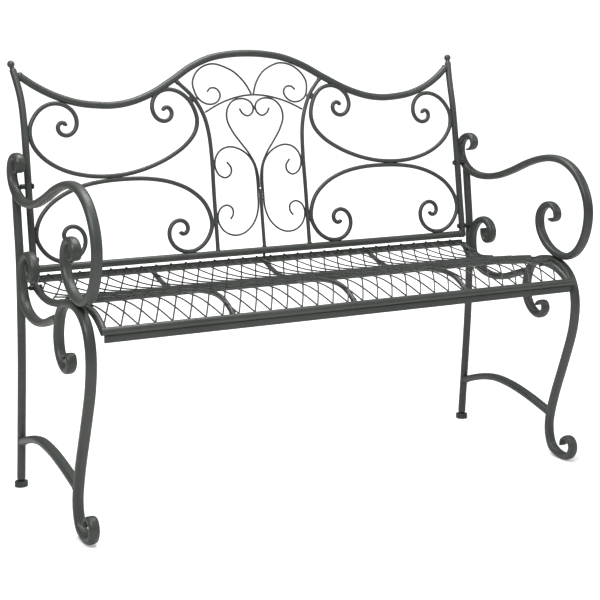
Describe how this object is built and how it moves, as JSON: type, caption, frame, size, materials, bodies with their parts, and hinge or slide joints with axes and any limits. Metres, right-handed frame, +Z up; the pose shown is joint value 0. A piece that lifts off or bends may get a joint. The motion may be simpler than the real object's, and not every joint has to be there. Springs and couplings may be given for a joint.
{
  "type": "garden bench",
  "caption": "Outdoor bench of bent steel: oval bar side frames ending in scrolls, a leaning scroll-work back with a heart ornament and a wavy crest, and a curved seat of diamond wire mesh.",
  "frame": {"origin": "on the floor, at the middle of the bench's outline in plan", "axes": "+X along the bench to the sitter's left, +Y to the back, +Z up; the sitter faces -Y"},
  "size_m": [1.168, 0.5502, 0.9222],
  "materials": {
    "frame": "dark grey green powder coat, satin, faintly textured",
    "foot": "dark grey green powder coat, satin",
    "bolt": "dark coated steel, satin"
  },
  "bodies": {
    "root": {"armrest_left": "frame", "armrest_right": "frame", "back_bolt_lower_left": "bolt", "back_bolt_lower_right": "bolt", "back_bolt_upper_left": "bolt", "back_bolt_upper_right": "bolt", "back_crest": "frame", "back_lower_rail": "frame", "back_post_left": "frame", "back_post_right": "frame", "brace_left": "frame", "brace_right": "frame", "centre_post": "frame", "centre_stud": "bolt", "finial_left": "frame", "finial_right": "frame", "foot_disc_left": "foot", "foot_disc_right": "foot", "front_leg_left": "frame", "front_leg_right": "frame", "inner_upright_left": "frame", "inner_upright_right": "frame", "ornament_arch": "frame", "ornament_heart_left": "frame", "ornament_heart_right": "frame", "ornament_kidney_left": "frame", "ornament_kidney_right": "frame", "ornament_plume_left": "frame", "ornament_plume_right": "frame", "rear_leg_left": "frame", "rear_leg_right": "frame", "scroll_lower_left": "frame", "scroll_lower_right": "frame", "scroll_upper_left": "frame", "scroll_upper_right": "frame", "seat_apron": "frame", "seat_bolt_front_left": "bolt", "seat_bolt_front_right": "bolt", "seat_bolt_rear_left": "bolt", "seat_bolt_rear_right": "bolt", "seat_front_rim": "frame", "seat_mesh": "frame", "seat_middle_rail": "frame", "seat_rear_rail": "frame", "seat_rib_front_1": "frame", "seat_rib_front_2": "frame", "seat_rib_front_3": "frame", "seat_rib_rear_1": "frame", "seat_rib_rear_2": "frame", "seat_rib_rear_3": "frame", "seat_side_rim_left": "frame", "seat_side_rim_right": "frame", "stretcher_left": "frame", "stretcher_right": "frame"}
  },
  "joints": []
}
